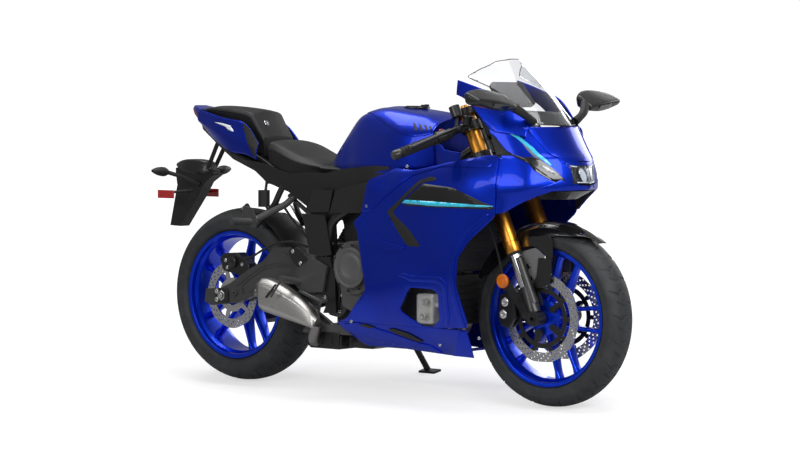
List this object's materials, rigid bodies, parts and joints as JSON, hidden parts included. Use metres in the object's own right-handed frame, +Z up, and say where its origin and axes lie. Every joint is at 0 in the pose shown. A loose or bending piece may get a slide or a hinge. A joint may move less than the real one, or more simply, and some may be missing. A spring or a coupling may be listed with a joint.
{
  "type": "sport motorcycle",
  "caption": "Fully faired sport motorcycle leaning on its side stand, with steering, free wheels, a folding stand and a hinged filler lid.",
  "frame": {"origin": "middle of the bounding box at floor level", "axes": "+X forward, +Y to the rider's left, +Z up from the floor; the machine leans to its left on its stand"},
  "size_m": [2.0708, 0.7996, 1.1503],
  "materials": {
    "blue_paint": "deep metallic blue, glossy",
    "blue_plastic": "deep metallic blue, glossy",
    "blue_alloy": "deep metallic blue on cast alloy",
    "black_gloss": "gloss black moulding",
    "black_plastic": "matt black moulding",
    "black_metal": "satin black paint",
    "grey_metal": "dark grey paint",
    "engine_grey": "satin dark grey on cast metal",
    "gold": "gold anodised",
    "steel": "brushed",
    "chain_steel": "oiled",
    "rubber": "soft, matt",
    "tyre": "matt",
    "seat": "black grained cover",
    "screen": "clear",
    "lamp": "clear lens",
    "red_lens": "red lens",
    "amber_lens": "amber lens",
    "radiator": "black finned core"
  },
  "bodies": {
    "chassis": {"main_frame": "black_metal", "cowl_stay": "black_metal", "engine": "engine_grey", "engine_covers": "engine_grey", "radiator": "radiator", "exhaust_headers": "steel", "collector_box": "black_metal", "silencer": "steel", "swingarm": "grey_metal", "shock_absorber": "steel", "chain": "chain_steel", "rear_caliper": "black_metal", "fuel_tank": "blue_paint", "rider_seat": "seat", "pillion_seat": "seat", "seat_panels": "black_plastic", "tail_cowl": "blue_plastic", "tail_under": "black_plastic", "tail_lamp": "red_lens", "plate_carrier": "black_plastic", "rear_signals": "amber_lens", "rear_reflectors": "red_lens", "side_covers": "black_plastic", "brake_reservoir": "black_plastic", "rear_hugger": "black_plastic", "chain_guard": "black_metal", "side_cowl_right": "blue_plastic", "side_cowl_left": "blue_plastic", "belly_cowl": "blue_plastic", "vent_panels": "black_gloss", "cowl_infill": "black_gloss", "nose_cowl": "blue_plastic", "chin_cowl": "black_gloss", "windscreen": "screen", "headlamp": "lamp", "position_lamps": "lamp", "mirrors": "black_gloss", "instrument_panel": "black_plastic", "footrests": "black_metal", "ribbed_guard": "black_plastic", "canister": "steel"},
    "steering": {"fork_tubes": "gold", "fork_lowers": "black_metal", "triple_clamps": "black_metal", "handlebars": "black_metal", "grips": "rubber", "levers": "black_metal", "front_fender": "black_gloss", "front_calipers": "black_metal", "side_reflectors": "amber_lens"},
    "front_wheel": {"front_rim": "blue_alloy", "front_tyre": "tyre", "front_discs": "steel"},
    "rear_wheel": {"rear_rim": "blue_alloy", "rear_tyre": "tyre", "rear_disc": "steel", "rear_sprocket": "steel"},
    "side_stand": {"stand_leg": "black_metal"},
    "filler_lid": {"fuel_cap": "black_metal"}
  },
  "joints": [
    {"name": "steering_turn", "type": "hinge", "parent": "chassis", "child": "steering", "pos_m": [0.4308, -0.01975, 0.88796], "axis": [-0.4012, 0.1591, 0.9021], "range_deg": [-27, 27]},
    {"name": "front_wheel_spin", "type": "hinge", "parent": "steering", "child": "front_wheel", "pos_m": [0.7354, -0.12398, 0.29684], "axis": [0, 0.9848, -0.1736], "continuous": true},
    {"name": "rear_wheel_spin", "type": "hinge", "parent": "chassis", "child": "rear_wheel", "pos_m": [-0.65959, -0.12119, 0.31268], "axis": [0, 0.9848, -0.1736], "continuous": true},
    {"name": "side_stand_fold", "type": "hinge", "parent": "chassis", "child": "side_stand", "pos_m": [-0.08465, 0.04622, 0.20249], "axis": [-0.1128, 0.9911, 0.07], "range_deg": [0, 92]},
    {"name": "filler_lid_open", "type": "hinge", "parent": "chassis", "child": "filler_lid", "pos_m": [0.18495, -0.00157, 0.99106], "axis": [0, 0.9848, -0.1736], "range_deg": [0, 100]}
  ]
}
